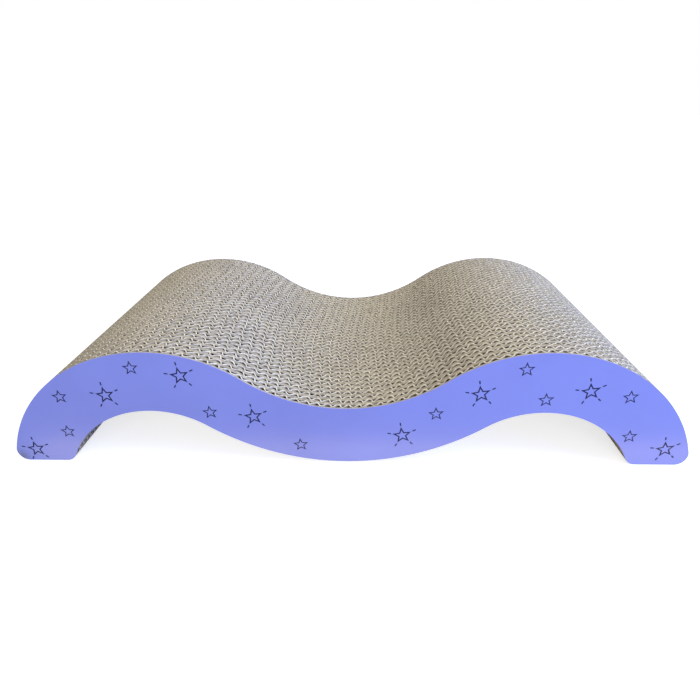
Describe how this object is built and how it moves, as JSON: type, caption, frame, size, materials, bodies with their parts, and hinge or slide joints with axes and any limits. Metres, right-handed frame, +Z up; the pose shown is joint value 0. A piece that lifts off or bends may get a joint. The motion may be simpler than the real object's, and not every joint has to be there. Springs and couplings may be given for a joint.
{
  "type": "cardboard cat scratcher",
  "caption": "Low free-standing cat scratcher of upright corrugated boards glued face to face, cut as a wave with two humps, a seat between them and an arch under each.",
  "frame": {"origin": "on the floor under the middle of the scratcher", "axes": "+Z up, X along the length from one foot to the other, +Y from the front sheet to the back sheet"},
  "size_m": [0.5002, 0.2248, 0.092],
  "materials": {
    "corrugated_board": "matte",
    "printed_sheet": "satin"
  },
  "bodies": {
    "root": {"front_sheet": "printed_sheet", "back_sheet": "printed_sheet", "board_01": "corrugated_board", "board_02": "corrugated_board", "board_03": "corrugated_board", "board_04": "corrugated_board", "board_05": "corrugated_board", "board_06": "corrugated_board", "board_07": "corrugated_board", "board_08": "corrugated_board", "board_09": "corrugated_board", "board_10": "corrugated_board", "board_11": "corrugated_board", "board_12": "corrugated_board", "board_13": "corrugated_board", "board_14": "corrugated_board", "board_15": "corrugated_board", "board_16": "corrugated_board", "board_17": "corrugated_board", "board_18": "corrugated_board", "board_19": "corrugated_board", "board_20": "corrugated_board", "board_21": "corrugated_board", "board_22": "corrugated_board", "board_23": "corrugated_board", "board_24": "corrugated_board", "board_25": "corrugated_board", "board_26": "corrugated_board", "board_27": "corrugated_board", "board_28": "corrugated_board", "board_29": "corrugated_board", "board_30": "corrugated_board", "board_31": "corrugated_board", "board_32": "corrugated_board", "board_33": "corrugated_board", "board_34": "corrugated_board", "board_35": "corrugated_board", "board_36": "corrugated_board", "board_37": "corrugated_board"}
  },
  "joints": []
}
